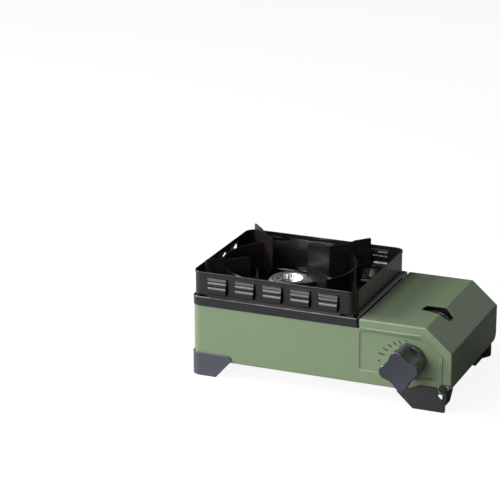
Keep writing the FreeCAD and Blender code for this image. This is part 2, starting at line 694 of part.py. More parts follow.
def make_nozzle():
    hexagon = [(BURNER_Y + 5 * math.cos(math.radians(60 * i)),
                TUBE_Z + 5 * math.sin(math.radians(60 * i)), 0) for i in range(6)]
    nut = prism("yz", hexagon, NOZZLE_X - 4, NOZZLE_X)
    body = rod((NOZZLE_X - 4, BURNER_Y, TUBE_Z), (-1, 0, 0), 5, 3.2)
    tip = Part.makeCone(3.2, 1.2, 3, V(NOZZLE_X - 9, BURNER_Y, TUBE_Z), V(-1, 0, 0))
    nozzle = joined([nut, body, tip])
    return nozzle.cut(rod((NOZZLE_TIP_X - 1, BURNER_Y, TUBE_Z), (1, 0, 0), 8, 0.5))


def make_nozzle_bracket():
    floor = GROUND_GAP + BODY_SHEET
    x1 = NOZZLE_X - 4
    plate = block(x1 - 1.2, x1, BURNER_Y - 9, BURNER_Y + 9, floor, TUBE_Z + 9)
    foot = block(x1 - 14, x1, BURNER_Y - 9, BURNER_Y + 9, floor, floor + 1.2)
    bracket = plate.fuse(foot).removeSplitter()
    return bracket.cut(rod((x1 - 3, BURNER_Y, TUBE_Z), (1, 0, 0), 5, 3.22))


def make_mixing_tube():
    """Venturi tube: flared mouth, throat, then straight into the burner's bowl."""
    mouth = NOZZLE_TIP_X - 1.0
    end = BURNER_X + BOWL_R - 1.0
    profile = [(7.0, mouth), (8.6, mouth), (6.6, mouth - 10), (6.6, mouth - 16),
               (8.6, mouth - 30), (8.6, end), (7.8, end), (7.8, mouth - 30),
               (5.8, mouth - 16), (5.8, mouth - 10)]
    points = [V(x, r, 0) for r, x in profile]
    wire = Part.makePolygon(points + [points[0]])
    solid = Part.Face(wire).revolve(V(0, 0, 0), V(1, 0, 0), 360)
    solid.translate(V(0, BURNER_Y, TUBE_Z))
    return solid.cut(rod((BURNER_X, BURNER_Y, 0), (0, 0, 1), 100, BOWL_R + 0.02))


def make_burner_bowl():
    r = BOWL_R
    top = BURNER_TOP - 8.0
    profile = [(0.001, BOWL_BOTTOM, 0), (r - 4, BOWL_BOTTOM, 3), (r, BOWL_BOTTOM + 6, 3),
               (r, top - 4, 1), (BURNER_R - 1, top - 2, 1), (BURNER_R - 1, top, 0),
               (BURNER_R - 3, top, 0), (r - 1.6, top - 3.4, 0.5),
               (r - 1.6, BOWL_BOTTOM + 6, 2), (r - 5, BOWL_BOTTOM + 1.6, 2),
               (0.001, BOWL_BOTTOM + 1.6, 0)]
    bowl = revolved(BURNER_X, BURNER_Y, profile)
    hole = rod((BURNER_X + 5, BURNER_Y, TUBE_Z), (1, 0, 0), 20, 7.8)
    return bowl.cut(hole)


def make_burner_ring():
    """Pressed steel crown: outer dome, a groove, and a ported inner slope."""
    top = BURNER_TOP
    base = top - 8.0
    r = BURNER_R
    profile = [(r, base, 0), (r, base + 3.5, 2), (r - 3.2, top, 2.5), (r - 5.8, top - 1.2, 1.0),
               (r - 8.2, top - 0.2, 1.2), (r - 11.0, top - 5.5, 0.6), (r - 12.0, base, 0),
               (r - 10.6, base, 0), (r - 9.8, top - 6.0, 0.4), (r - 7.9, top - 2.0, 0.5),
               (r - 5.8, top - 2.6, 0.5), (r - 3.6, top - 1.6, 1.2), (r - 1.4, base + 3.4, 1),
               (r - 1.4, base, 0)]
    ring = revolved(BURNER_X, BURNER_Y, profile)
    for i in range(28):
        port = block(r - 12.5, r - 8.6, -0.5, 0.5, top - 5.0, top - 1.4)
        port.rotate(V(0, 0, 0), V(0, 0, 1), 360 / 28 * i)
        port.translate(V(BURNER_X, BURNER_Y, 0))
        ring = ring.cut(port)
    return ring


def make_burner_dish():
    """Shallow centre dish with a raised button."""
    base = BURNER_TOP - 8.0
    r = BURNER_R - 12.1
    profile = [(0.001, base - 1.0, 0), (r - 2, base - 1.0, 1), (r, base + 2.0, 0.4),
               (r - 0.8, base + 2.4, 0.3), (r - 2.4, base, 1), (4.2, base, 0.6),
               (3.2, base + 1.8, 0.8), (0.001, base + 1.8, 0)]
    return revolved(BURNER_X, BURNER_Y, profile)


def make_dish_posts():
    """Three short posts that carry the dish over the bowl's floor."""
    base = BURNER_TOP - 9.0
    low = BOWL_BOTTOM + 1.6
    posts = []
    for i in range(3):
        a = math.radians(60 + 120 * i)
        x = BURNER_X + 6 * math.cos(a)
        y = BURNER_Y + 6 * math.sin(a)
        posts.append(rod((x, y, low), (0, 0, 1), base - low, 1.4))
    return Part.makeCompound(posts)


def make_burner_stand():
    """Bridge of sheet steel between the tray's floor and the bowl."""
    floor = GROUND_GAP + BODY_SHEET
    t = 1.2
    x0 = BURNER_X - 26
    x1 = BURNER_X + 26
    half = 13
    outline_points = [(x0 - 9, floor, 0), (x0, floor, 0), (x0, BOWL_BOTTOM - t, 0),
                      (x1, BOWL_BOTTOM - t, 0), (x1, floor, 0), (x1 + 9, floor, 0),
                      (x1 + 9, floor + t, 0), (x1 + t, floor + t, 0), (x1 + t, BOWL_BOTTOM, 0),
                      (x0 - t, BOWL_BOTTOM, 0), (x0 - t, floor + t, 0), (x0 - 9, floor + t, 0)]
    stand = prism("xz", outline_points, BURNER_Y - half, BURNER_Y + half)
    for x in (x0 - 5, x1 + 5):
        stand = stand.cut(rod((x, BURNER_Y, floor - 1), (0, 0, 1), 4, SCREW_R))
    return stand


def make_burner_screws():
    floor = GROUND_GAP + BODY_SHEET
    z = floor + 1.2
    places = [BURNER_X - 31, BURNER_X + 31]
    return Part.makeCompound([pan_head_screw((x, BURNER_Y, z), (0, 0, -1), 1.2) for x in places])


# ---------------------------------------------------------------- ignition
IGNITER_Y0 = -54.5
IGNITER_Y1 = -43.5
IGNITER_TOP = 36.0
PLUNGER_R = 2.4
ELECTRODE_REACH = 26.6
ELECTRODE_TURN = 35.0


def electrode_place():
    a = math.radians(ELECTRODE_TURN)
    return BURNER_X + ELECTRODE_REACH * math.cos(a), BURNER_Y + ELECTRODE_REACH * math.sin(a)


def make_igniter_housing():
    floor = GROUND_GAP + BODY_SHEET
    body = block(AXIS_X - 7, AXIS_X + 7, IGNITER_Y0, IGNITER_Y1, floor + 1.2, IGNITER_TOP)
    upright = edges_at(body, lambda p: True)
    upright = [e for e in upright if abs(e.Vertexes[0].Z - e.Vertexes[1].Z) > 1]
    body = body.makeFillet(1.5, upright)
    y = (IGNITER_Y0 + IGNITER_Y1) / 2
    return body.cut(rod((AXIS_X, y, IGNITER_TOP + 1), (0, 0, -1), 13, PLUNGER_R + RUN))


def make_igniter_bracket():
    floor = GROUND_GAP + BODY_SHEET
    plate = block(AXIS_X - 14, AXIS_X + 14, IGNITER_Y0 - 1, IGNITER_Y1 + 1, floor, floor + 1.2)
    ears = [block(AXIS_X + s * 7.6 - 0.6, AXIS_X + s * 7.6 + 0.6, IGNITER_Y0 - 1, IGNITER_Y1 + 1,
                  floor, floor + 8) for s in (-1, 1)]
    bracket = joined([plate] + ears)
    return bracket.cut(rod((AXIS_X - 20, LEAD_Y, LEAD_Z), (1, 0, 0), 20, 1.6))


def make_igniter_plunger():
    y = (IGNITER_Y0 + IGNITER_Y1) / 2
    top = AXIS_Z - CAM_R - GAP
    body = rod((AXIS_X, y, IGNITER_TOP - 8), (0, 0, 1), top - IGNITER_TOP + 8, PLUNGER_R)
    rim = edges_at(body, lambda p: p.z > top - 0.01)
    return body.makeFillet(1.6, rim)


def make_knob_cam():
    """Spiral cam: its radius grows by CAM_RISE over the knob's quarter turn."""
    steps = 9
    spiral = []
    for i in range(steps + 1):
        share = i / steps
        a = math.radians(-90 - 90 * share)
        r = CAM_R + CAM_RISE * share
        spiral.append(V(r * math.cos(a), 0, r * math.sin(a)))
    curve = Part.BSplineCurve()
    curve.interpolate(spiral)
    start = V(0, 0, -CAM_R)
    end = spiral[-1]
    drop = math.radians(-200)
    low = V(CAM_R * math.cos(drop), 0, CAM_R * math.sin(drop))
    middle = math.radians(35)
    round_back = Part.Arc(low, V(CAM_R * math.cos(middle), 0, CAM_R * math.sin(middle)), start)
    wire = Part.Wire([curve.toShape(), Part.makeLine(end, low), round_back.toShape()])
    cam = Part.Face(wire).extrude(V(0, 5, 0))
    cam.translate(V(AXIS_X, (IGNITER_Y0 + IGNITER_Y1) / 2 - 2.5, AXIS_Z))
    return cam.cut(rod((AXIS_X, FRONT, AXIS_Z), (0, 1, 0), 30, SHAFT_R))


def make_electrode_insulator():
    x, y = electrode_place()
    low = rod((x, y, 50), (0, 0, 1), 28, 2.6)
    collar = rod((x, y, 62), (0, 0, 1), 3, 3.6)
    sleeve = low.fuse(collar)
    return sleeve.cut(rod((x, y, 49), (0, 0, 1), 40, 0.82))


def make_electrode():
    x, y = electrode_place()
    a = math.radians(ELECTRODE_TURN)
    pull = 4.6
    top = BURNER_TOP - 3.0
    end = (x - pull * math.cos(a), y - pull * math.sin(a), top + 2.5)
    return wire_tube([(x, y, 48), (x, y, top), (end[0] + 2 * math.cos(a), end[1] + 2 * math.sin(a),
                                                top + 2.5)], 0.8)


def make_electrode_bracket():
    """Clip from the bowl's side to the insulator's collar."""
    a = ELECTRODE_TURN
    plate = block(BOWL_R + 0.05, ELECTRODE_REACH + 4, -5, 5, 60.8, 62.0)
    plate = plate.cut(rod((ELECTRODE_REACH, 0, 50), (0, 0, 1), 20, 2.62))
    plate = plate.cut(rod((0, 0, 50), (0, 0, 1), 20, BOWL_R + 0.02))
    tab = block(BOWL_R - 1, BOWL_R + 1.6, -5, 5, 55, 62).cut(rod((0, 0, 50), (0, 0, 1), 20, BOWL_R + 0.02))
    clip = plate.fuse(tab).removeSplitter()
    clip.rotate(V(0, 0, 0), V(0, 0, 1), a)
    clip.translate(V(BURNER_X, BURNER_Y, 0))
    return clip


LEAD_R = 1.1


def lead_points():
    x, y = electrode_place()
    return [(AXIS_X - 7, LEAD_Y, LEAD_Z), (74, LEAD_Y, LEAD_Z), (46, LEAD_Y, LEAD_Z),
            (14, LEAD_Y + 6, 24), (-18, LEAD_Y + 22, 24), (x, LEAD_Y + 52, 25),
            (x, y, 29), (x, y, 48)]


def make_igniter_lead():
    points = lead_points()
    points.pop(1)
    return wire_tube(points, LEAD_R)


def make_lead_clips():
    """P-clips that hold the lead to the tray's floor."""
    floor = GROUND_GAP + BODY_SHEET
    clips = []
    for x, y, z in ((14, LEAD_Y + 6, 24), (-18, LEAD_Y + 22, 24)):
        clips.append(block(x - 2.5, x + 2.5, y - 4, y + 4, floor, floor + 1.0))
    return Part.makeCompound(clips)


# ---------------------------------------------------------------- knob
def knob_outline(scale, y):
    """Four broad lobes joined by shallow hollows."""
    lobe = KNOB_LOBE_R * scale
    centre = (KNOB_FRONT_R - KNOB_LOBE_R) * scale
    valley = KNOB_VALLEY_R * scale
    k = math.cos(math.pi / 4)
    hollow = (centre ** 2 + valley ** 2 - 2 * centre * valley * k - lobe ** 2)
    hollow /= 2 * (lobe + centre * k - valley)
    far = valley + hollow
    edges = []
    for i in range(4):
        lobe_turn = math.radians(KNOB_TURN + 90 * i)
        c = V(centre * math.cos(lobe_turn), 0, centre * math.sin(lobe_turn))
        hubs = []
        for sign in (-1, 1):
            t = lobe_turn + sign * math.pi / 4
            hubs.append(V(far * math.cos(t), 0, far * math.sin(t)))
        touch = []
        for hub in hubs:
            way = hub.sub(c)
            way.normalize()
            touch.append(c.add(way.multiply(lobe)))
        tip = V((centre + lobe) * math.cos(lobe_turn), 0, (centre + lobe) * math.sin(lobe_turn))
        edges.append(Part.Arc(touch[0], tip, touch[1]).toShape())
        next_turn = lobe_turn + math.pi / 2
        c2 = V(centre * math.cos(next_turn), 0, centre * math.sin(next_turn))
        way = hubs[1].sub(c2)
        way.normalize()
        next_touch = c2.add(way.multiply(lobe))
        t = lobe_turn + math.pi / 4
        bottom = V(valley * math.cos(t), 0, valley * math.sin(t))
        edges.append(Part.Arc(touch[1], bottom, next_touch).toShape())
    wire = Part.Wire(edges)
    wire.translate(V(AXIS_X, y, AXIS_Z))
    return wire


KNOB_BACK = FRONT - GAP
KNOB_FACE = FRONT - KNOB_REACH
KNOB_SKIRT = 5.0
KNOB_SKIRT_R = 17.4
KNOB_DISH = 1.3            # depth of the hollow face
KNOB_DISH_R = 19.2


def make_knob():
    grip = Part.makeLoft([knob_outline(1.0, KNOB_FACE), knob_outline(KNOB_BACK_SCALE, KNOB_BACK)], True)
    face_edges = edges_at(grip, lambda p: p.y < KNOB_FACE + 0.01)
    grip = grip.makeFillet(1.5, face_edges)
    ball_r = (KNOB_DISH_R ** 2 + KNOB_DISH ** 2) / (2 * KNOB_DISH)
    grip = grip.cut(Part.makeSphere(ball_r, V(AXIS_X, KNOB_FACE + KNOB_DISH - ball_r, AXIS_Z)))
    skirt = rod((AXIS_X, KNOB_BACK - KNOB_SKIRT, AXIS_Z), (0, 1, 0), KNOB_SKIRT, KNOB_SKIRT_R)
    rim = edges_at(skirt, lambda p: p.y < KNOB_BACK - KNOB_SKIRT + 0.01)
    skirt = skirt.makeFillet(1.5, rim)
    knob = grip.fuse(skirt).removeSplitter()
    # hollow back with a hub for the shaft
    well = tube((AXIS_X, KNOB_BACK - 22, AXIS_Z), (0, 1, 0), 23, 11.0, 6.0)
    knob = knob.cut(well)
    return knob.cut(rod((AXIS_X, KNOB_BACK - 24, AXIS_Z), (0, 1, 0), 30, SHAFT_R))


def make_knob_shaft():
    start = KNOB_BACK - 24
    end = BONNET_FRONT + 8.5
    shaft = rod((AXIS_X, start, AXIS_Z), (0, 1, 0), end - start, SHAFT_R)
    return shaft.cut(rod((AXIS_X, end + 1, AXIS_Z), (0, -1, 0), 8, SPINDLE_R + RUN))


def make_shaft_bush():
    back = FRONT + BODY_SHEET + PANEL_BACKING
    bush = tube((AXIS_X, FRONT + PANEL_STEP + 0.1, AXIS_Z), (0, 1, 0), 4.5, SHAFT_R + 2 - 0.02, SHAFT_R + RUN)
    collar = tube((AXIS_X, back, AXIS_Z), (0, 1, 0), 1.2, SHAFT_R + 3.5, SHAFT_R + RUN)
    return bush.fuse(collar).removeSplitter()


def make_valve_spindle():
    start = BONNET_FRONT + 8.5 - 4.5
    end = BONNET_FRONT + 33
    body = rod((AXIS_X, start, AXIS_Z), (0, 1, 0), end - start - 4, SPINDLE_R)
    tip = Part.makeCone(SPINDLE_R, 0.3, 4, V(AXIS_X, end - 4, AXIS_Z), V(0, 1, 0))
    return body.fuse(tip)


# ---------------------------------------------------------------- lid and hinge
HINGE_X = LID_LEFT + LID_CURL_R
HINGE_Z = LID_TOP - LID_CURL_R


def bracket_places():
    inset = 14.0
    return [FRONT + inset, (FRONT + BACK) / 2, BACK - inset]


FLANGE_END = SEAM_Z + 0.8


def lip_corner_points(lip):
    """Crease and shoulder of a line that lies lip below the lid's outline."""
    crease, shoulder = lid_corner_points(lip + 0.8)
    run = (RIGHT - LID_CREASE_X) / (LID_TOP - LID_SHOULDER_Z)
    level = LID_TOP - lip
    return (crease[0] + (crease[1] - level) * run, level), shoulder


def hem_band(upper, lower, front, back):
    """Strip along the flange's edge, between two insets from the lid's outline."""
    high_crease, high_shoulder = lip_corner_points(upper)
    low_crease, low_shoulder = lip_corner_points(lower)
    start = LID_LEFT + 1.8
    band = [(start, LID_TOP - upper, 0), (high_crease[0], high_crease[1], 2),
            (high_shoulder[0], high_shoulder[1], 2), (high_shoulder[0], FLANGE_END, 0),
            (low_shoulder[0], FLANGE_END, 0), (low_shoulder[0], low_shoulder[1], 2),
            (low_crease[0], low_crease[1], 2), (start, LID_TOP - lower, 0)]
    return prism("xz", band, front, back)


def make_hem():
    """The flange's edge stands proud and laps over the gap to the control panel."""
    face = FRONT - HEM_PROUD
    hem = hem_band(LID_LIP - 0.9, LID_LIP + HEM_WIDTH, face, FRONT - GAP)
    rim = edges_at(hem, lambda p: p.y < face + 0.01)
    hem = hem.makeChamfer(0.5, [e for e in rim if e.Length > 3])
    root = hem_band(LID_LIP - 0.9, LID_LIP - 0.02, FRONT - GAP - 0.01, FRONT + 0.2)
    return hem.fuse(root)


def make_cartridge_lid():
    crease, shoulder = lid_corner_points(0)
    outer = [(LID_LEFT, LID_SIDE_BOTTOM, 0), (LID_LEFT, LID_TOP, LID_CURL_R),
             (crease[0], crease[1], LID_BEND), (shoulder[0], shoulder[1], LID_BEND),
             (RIGHT, LID_SIDE_BOTTOM, 0)]
    lid = prism("xz", outer, FRONT, BACK)
    front = edges_at(lid, lambda p: p.y < FRONT + 0.01)
    front = [e for e in front if e.CenterOfMass.x > LID_LEFT + 0.1 and e.CenterOfMass.z > LID_SIDE_BOTTOM + 1]
    lid = lid.makeFillet(1.6, front)
    t = LID_SHEET
    crease, shoulder = lid_corner_points(t)
    inner = [(LID_LEFT - 5, LID_SIDE_BOTTOM - 5, 0), (LID_LEFT - 5, LID_TOP - t, 0),
             (crease[0], crease[1], LID_BEND - t), (shoulder[0], shoulder[1], LID_BEND - t),
             (RIGHT - t, LID_SIDE_BOTTOM - 5, 0)]
    lid = lid.cut(prism("xz", inner, FRONT + t, BACK + t))
    # the front flange is LID_LIP high and follows the outline
    lip = LID_LIP
    lip_crease, lip_shoulder = lip_corner_points(lip)
    window = [(LID_LEFT - 5, LID_TOP - lip, 0), (lip_crease[0], lip_crease[1], 2),
              (lip_shoulder[0], lip_shoulder[1], 2), (lip_shoulder[0], FLANGE_END, 0),
              (RIGHT - t, FLANGE_END, 0), (RIGHT - t, LID_SIDE_BOTTOM - 5, 0),
              (LID_LEFT - 5, LID_SIDE_BOTTOM - 5, 0)]
    lid = lid.cut(prism("xz", window, FRONT - 1, FRONT + t + 1))
    corner = [(LID_LEFT - 1, LID_TOP - lip - 1, 0), (LID_LEFT + 1.6, LID_TOP - lip - 1, 0),
              (LID_LEFT + 1.6, LID_TOP - lip, 0), (LID_LEFT, LID_TOP - lip + 1.6, 0),
              (LID_LEFT - 1, LID_TOP - lip + 1.6, 0)]
    lid = lid.cut(prism("xz", corner, FRONT - 1, FRONT + 2 * t))
    lid = lid.fuse(make_hem())
    # rolled edge round the hinge rod
    curl = rod((HINGE_X, FRONT + t, HINGE_Z), (0, 1, 0), BACK - FRONT - t, LID_CURL_R)
    lid = lid.fuse(curl).cut(rod((HINGE_X, FRONT + t, HINGE_Z), (0, 1, 0), BACK - FRONT, HINGE_ROD_R + RUN))
    for y in bracket_places():
        half = BRACKET_W / 2 + GAP + 0.1
        reach = LID_CURL_R + 0.5
        lid = lid.cut(block(LID_LEFT - 1, HINGE_X + reach, y - half, y + half,
                            HINGE_Z - reach, LID_TOP + 1))
    # curved slot over the cartridge's collar
    slot = [(93.0, -11.3, 2.5), (105.0, -13.3, 8), (116.5, -18.5, 6), (124.4, -12.0, 2.5),
            (125.0, 0.6, 3.5), (116.5, 5.2, 6), (95.0, 3.4, 2.5)]
    lid = lid.cut(prism("xy", slot, LID_SHOULDER_Z, LID_TOP + 5))
    # rounded lower corner at the back
    r = 8.0
    nick = block(RIGHT - 3, RIGHT + 1, BACK - r, BACK + 1, LID_SIDE_BOTTOM - 1, LID_SIDE_BOTTOM + r)
    nick = nick.cut(rod((RIGHT - 4, BACK - r, LID_SIDE_BOTTOM + r), (1, 0, 0), 6, r))
    return lid.cut(nick)


def make_hinge_rod():
    return rod((HINGE_X, FRONT + 1.5, HINGE_Z), (0, 1, 0), BACK - FRONT - 3, HINGE_ROD_R)


def make_hinge_brackets():
    brackets = []
    for y in bracket_places():
        y0 = y - BRACKET_W / 2
        stem = block(HINGE_X - 1.6, HINGE_X + 1.6, y0, y0 + BRACKET_W, BODY_TOP, HINGE_Z)
        eye = rod((HINGE_X, y0, HINGE_Z), (0, 1, 0), BRACKET_W, 1.9)
        foot = block(HINGE_X - 1.6, HINGE_X + 10, y0, y0 + BRACKET_W, BODY_TOP, BODY_TOP + 1.0)
        bracket = joined([stem, eye, foot])
        brackets.append(bracket.cut(rod((HINGE_X, y0 - 1, HINGE_Z), (0, 1, 0), BRACKET_W + 2,
                                        HINGE_ROD_R)))
    return Part.makeCompound(brackets)


def make_lid_bumpers():
    """Rubber pads on the tray's side that the closed lid rests against."""
    x0 = TRAY_RIGHT - BODY_SHEET - 5
    pads = []
    for y in (FRONT + 20, BACK - 24):
        pads.append(block(x0, TRAY_RIGHT - BODY_SHEET - 0.0, y, y + 10, SEAM_Z - 1.5, SEAM_Z + 1.6))
    return Part.makeCompound(pads)


# ---------------------------------------------------------------- pan and guard
def make_drip_pan():
    p = PAN_PROUD
    x0, y0, y1 = LEFT - p, FRONT - p, BACK + p
    t = PAN_SHEET
    low = BODY_TOP + SEAT
    cap = rounded_box(x0, PAN_RIGHT, y0, y1, low, RIM_TOP, PAN_CORNER, 1.5)
    cap = cap.makeFillet(1.3, edges_at(cap, lambda q: q.z > RIM_TOP - 0.01))
    cap = cap.cut(rounded_box(x0 + t, PAN_RIGHT - t, y0 + t, y1 - t, low + t, RIM_TOP - t,
                              PAN_CORNER - t, 0.8))
    h = PAN_HEM
    cap = cap.cut(rounded_box(x0 + h, PAN_RIGHT - h, y0 + h, y1 - h, low - 1, low + 2 * t,
                              PAN_CORNER - h, 0.8))
    i = PAN_WELL_INSET
    well = rounded_box(x0 + i, PAN_RIGHT - i, y0 + i, y1 - i, PAN_FLOOR, RIM_TOP, 7, 7)
    well = well.makeFillet(3.0, edges_at(well, lambda q: q.z < PAN_FLOOR + 0.01))
    j = i + t
    inside = rounded_box(x0 + j, PAN_RIGHT - j, y0 + j, y1 - j, PAN_FLOOR + t, RIM_TOP + 1, 6.3, 6.3)
    inside = inside.makeFillet(2.3, edges_at(inside, lambda q: q.z < PAN_FLOOR + t + 0.01))
    pan = cap.fuse(well).cut(inside)
    lip = tube((BURNER_X, BURNER_Y, PAN_FLOOR), (0, 0, 1), 5.0, PAN_HOLE_R + t, PAN_HOLE_R)
    pan = pan.fuse(lip).cut(rod((BURNER_X, BURNER_Y, PAN_FLOOR - 1), (0, 0, 1), 9, PAN_HOLE_R))
    return pan.removeSplitter()


LOUVRE_PROFILE = [(0.0, 0.0, 0.0), (3.2, 0.7, 1.4), (5.2, 3.0, 2.2), (5.3, 7.4, 1.6),
                  (3.7, 9.2, 0.9), (4.5, 10.8, 1.2), (4.1, 13.0, 1.1), (2.7, 14.1, 0.7),
                  (3.1, 15.5, 0.9), (2.2, 17.4, 1.2), (0.0, LOUVRE_HEIGHT, 0.0)]
LOUVRE_RAMP = 4.0


def louvre_pair():
    """Outer and inner solids of one louvre, pressed towards -Y, from x = 0."""
    def moved(points, inward):
        return [(-u, v, r) for u, v, r in points]

    outer_profile = moved(LOUVRE_PROFILE, 0) + [(1.5, LOUVRE_HEIGHT, 0), (1.5, 0, 0)]
    outer = prism("yz", outer_profile, 0, LOUVRE_LENGTH)
    plan = [(0, 2, 0), (LOUVRE_RAMP, -6, 1.5), (LOUVRE_LENGTH, -6, 0), (LOUVRE_LENGTH, 2, 0)]
    outer = outer.common(prism("xy", plan, -1, LOUVRE_HEIGHT + 1))
    deep = moved(LOUVRE_PROFILE, 0) + [(4.0, LOUVRE_HEIGHT, 0), (4.0, 0, 0)]
    face = Part.Face(outline("yz", deep, -1))
    shrunk = face.makeOffset2D(-GUARD_SHEET)
    inner = Part.Face(shrunk.Wires[0]).extrude(V(LOUVRE_LENGTH + 3, 0, 0))
    t = GUARD_SHEET * 1.3
    plan = [(t, 4, 0), (t, 2, 0), (LOUVRE_RAMP + t, -6, 1), (LOUVRE_LENGTH + 2, -6, 0),
            (LOUVRE_LENGTH + 2, -0.01, 0), (LOUVRE_LENGTH - 1, -0.01, 0), (LOUVRE_LENGTH - 1, 4, 0)]
    inner = inner.common(prism("xy", plan, -1, LOUVRE_HEIGHT + 1))
    return outer, inner


def guard_box(inset, z0, z1):
    return rounded_box(LEFT + GUARD_SIDE + inset, GUARD_RIGHT - inset, FRONT + GUARD_END + inset,
                       BACK - GUARD_END - inset, z0, z1, GUARD_CORNER - inset, GUARD_CORNER - inset)


def make_wind_guard():
    t = GUARD_SHEET
    wall = guard_box(0, RIM_TOP, GUARD_TOP)
    # hem rolled outwards at the top
    hem = guard_box(-0.5, GUARD_TOP - 2.0, GUARD_TOP)
    hem = hem.makeFillet(0.45, edges_at(hem, lambda q: q.z > GUARD_TOP - 0.01))
    wall = wall.fuse(hem).cut(guard_box(t, RIM_TOP - 1, GUARD_TOP + 1))
    x0 = LEFT + GUARD_SIDE
    y0 = FRONT + GUARD_END
    y1 = BACK - GUARD_END
    mid_x = (x0 + GUARD_RIGHT) / 2
    mid_y = (y0 + y1) / 2
    half = LOUVRE_LENGTH / 2
    # (turn, mirrored, x, y) of each louvre's closed end
    places = []
    for i in range(-2, 3):
        places.append((0, False, mid_x - 1.5 + LOUVRE_PITCH * i - half, y0))
        places.append((180, False, mid_x + LOUVRE_PITCH * i + half, y1))
    for i in range(-1, 2):
        places.append((-90, True, x0, mid_y + LOUVRE_PITCH * i - half))
    adds, cuts = [], []
    for turn, flipped, x, y in places:
        for shape, bag in zip(louvre_pair(), (adds, cuts)):
            if flipped:
                shape = shape.mirror(V(0, 0, 0), V(1, 0, 0))
            shape.rotate(V(0, 0, 0), V(0, 0, 1), turn)
            shape.translate(V(x, y, LOUVRE_Z))
            bag.append(shape)
    wall = wall.multiFuse(adds)
    for cut in cuts:
        wall = wall.cut(cut)
    # drain notches at the foot of the front and back corners
    for y in (y0, y1):
        for x in (x0 + 3, GUARD_RIGHT - 17):
            wall = wall.cut(block(x, x + 14, y - 2, y + 2, RIM_TOP - 1, RIM_TOP + 1.6))
    return wall


# ---------------------------------------------------------------- pot support
def blade(turn):
    """Upright plate along a diagonal of the burner, with grip teeth on top."""
    z0 = PAN_FLOOR + PAN_SHEET + SEAT
    top = [(BLADE_INNER, BLADE_INNER_TOP, 1.2), (BLADE_INNER + 16, BLADE_INNER_TOP + 0.3, 0)]
    tooth = 3.4
    r = BLADE_INNER + 17
    rise = BLADE_INNER_TOP + 0.6
    for i in range(3):
        top += [(r, rise, 0.0), (r + tooth * 0.45, rise - 1.5, 0.0), (r + tooth * 0.55, rise - 1.5, 0.0),
                (r + tooth, rise + 0.3, 0.0)]
        r += tooth
        rise += 0.5
    top += [(r + 3, OVERALL_HEIGHT - 0.6, 2), (BLADE_OUTER, OVERALL_HEIGHT, 1.5)]
    low = [(BLADE_OUTER, 92.5, 1.5), (BLADE_OUTER - 8, 90.5, 2), (BLADE_OUTER - 13, z0, 1),
           (BLADE_INNER + 13, z0, 1), (BLADE_INNER, 88, 2)]
    half = BLADE_SHEET / 2
    plate = prism("xz", top + low, -half, half)
    plate.rotate(V(0, 0, 0), V(0, 0, 1), turn)
    plate.translate(V(BURNER_X, BURNER_Y, 0))
    return plate


def blade_back_right():
    """The back right blade is folded at its inner end into a short flag."""
    plate = blade(45)
    reach = BLADE_INNER * math.cos(math.pi / 4)
    x = BURNER_X + reach
    y = BURNER_Y + reach
    t = BLADE_SHEET
    flag = block(x - 24, x + 0.6, y - t / 2, y + t / 2, 88, BLADE_INNER_TOP)
    return plate.fuse(flag).removeSplitter()


def ring_arc(start, end):
    """One quarter of the inner wind ring, between two blades, with a beaded rim."""
    r = RING_R
    t = ARC_SHEET
    profile = [(r - t / 2, RING_BOTTOM, 0), (r + t / 2, RING_BOTTOM, 0), (r + t / 2, RING_TOP - 2.0, 0.3),
               (r + t / 2 + 0.9, RING_TOP - 1.6, 0.5), (r + t / 2 + 0.9, RING_TOP, 0.7),
               (r - t / 2, RING_TOP, 0.6)]
    face = Part.Face(outline("xz", profile, 0))
    turn = math.degrees(math.asin((BLADE_SHEET / 2 + 0.02) / r))
    face.rotate(V(0, 0, 0), V(0, 0, 1), start + turn)
    arc = face.revolve(V(0, 0, 0), V(0, 0, 1), end - start - 2 * turn)
    arc.translate(V(BURNER_X, BURNER_Y, 0))
    return arc


# ---------------------------------------------------------------- write the nodes
save("body_shell", make_body_shell())
save("bottom_tray", make_bottom_tray())
save("dial_scale", make_dial_scale())
save("foot_front_left", corner_foot(False))
save("foot_rear_left", corner_foot(True))
save("foot_front_right", right_foot_front())
save("foot_rear_right", right_foot_rear())
save("foot_screws", make_foot_screws())
save("corner_screw", make_corner_screw())
save("heat_shield", make_heat_shield())
save("cartridge_cradle", make_cartridge_cradle())
save("heat_panel", make_heat_panel())
save("regulator_body", make_regulator_body())
save("diaphragm_cover", make_diaphragm_cover())
save("regulator_screws", make_regulator_screws())
save("magnet_ring", receiver_ring(RECEIVER_Y - MAGNET_T, MAGNET_T, 22.0, 12.05))
save("receiver_flange", receiver_ring(RECEIVER_Y, FLANGE_T, FLANGE_R, 10.0))
save("receiver_cup", make_receiver_cup())
save("locator_key", make_locator_key())
save("bay_bulkhead", make_bay_bulkhead())
save("outlet_nipple", make_outlet_nipple())
save("gas_pipe", make_gas_pipe())
save("nozzle", make_nozzle())
save("nozzle_bracket", make_nozzle_bracket())
save("mixing_tube", make_mixing_tube())
save("burner_bowl", make_burner_bowl())
save("burner_ring", make_burner_ring())
save("burner_dish", make_burner_dish())
save("dish_posts", make_dish_posts())
save("burner_stand", make_burner_stand())
save("burner_screws", make_burner_screws())
save("igniter_housing", make_igniter_housing())
save("igniter_bracket", make_igniter_bracket())
save("igniter_plunger", make_igniter_plunger())
save("electrode_insulator", make_electrode_insulator())
save("electrode", make_electrode())
save("electrode_bracket", make_electrode_bracket())
save("igniter_lead", make_igniter_lead())
save("lead_clips", make_lead_clips())
save("knob", make_knob())
save("knob_shaft", make_knob_shaft())
save("knob_cam", make_knob_cam())
save("shaft_bush", make_shaft_bush())
save("valve_spindle", make_valve_spindle())
save("cartridge_lid", make_cartridge_lid())
save("hinge_rod", make_hinge_rod())
save("hinge_brackets", make_hinge_brackets())
save("lid_bumpers", make_lid_bumpers())
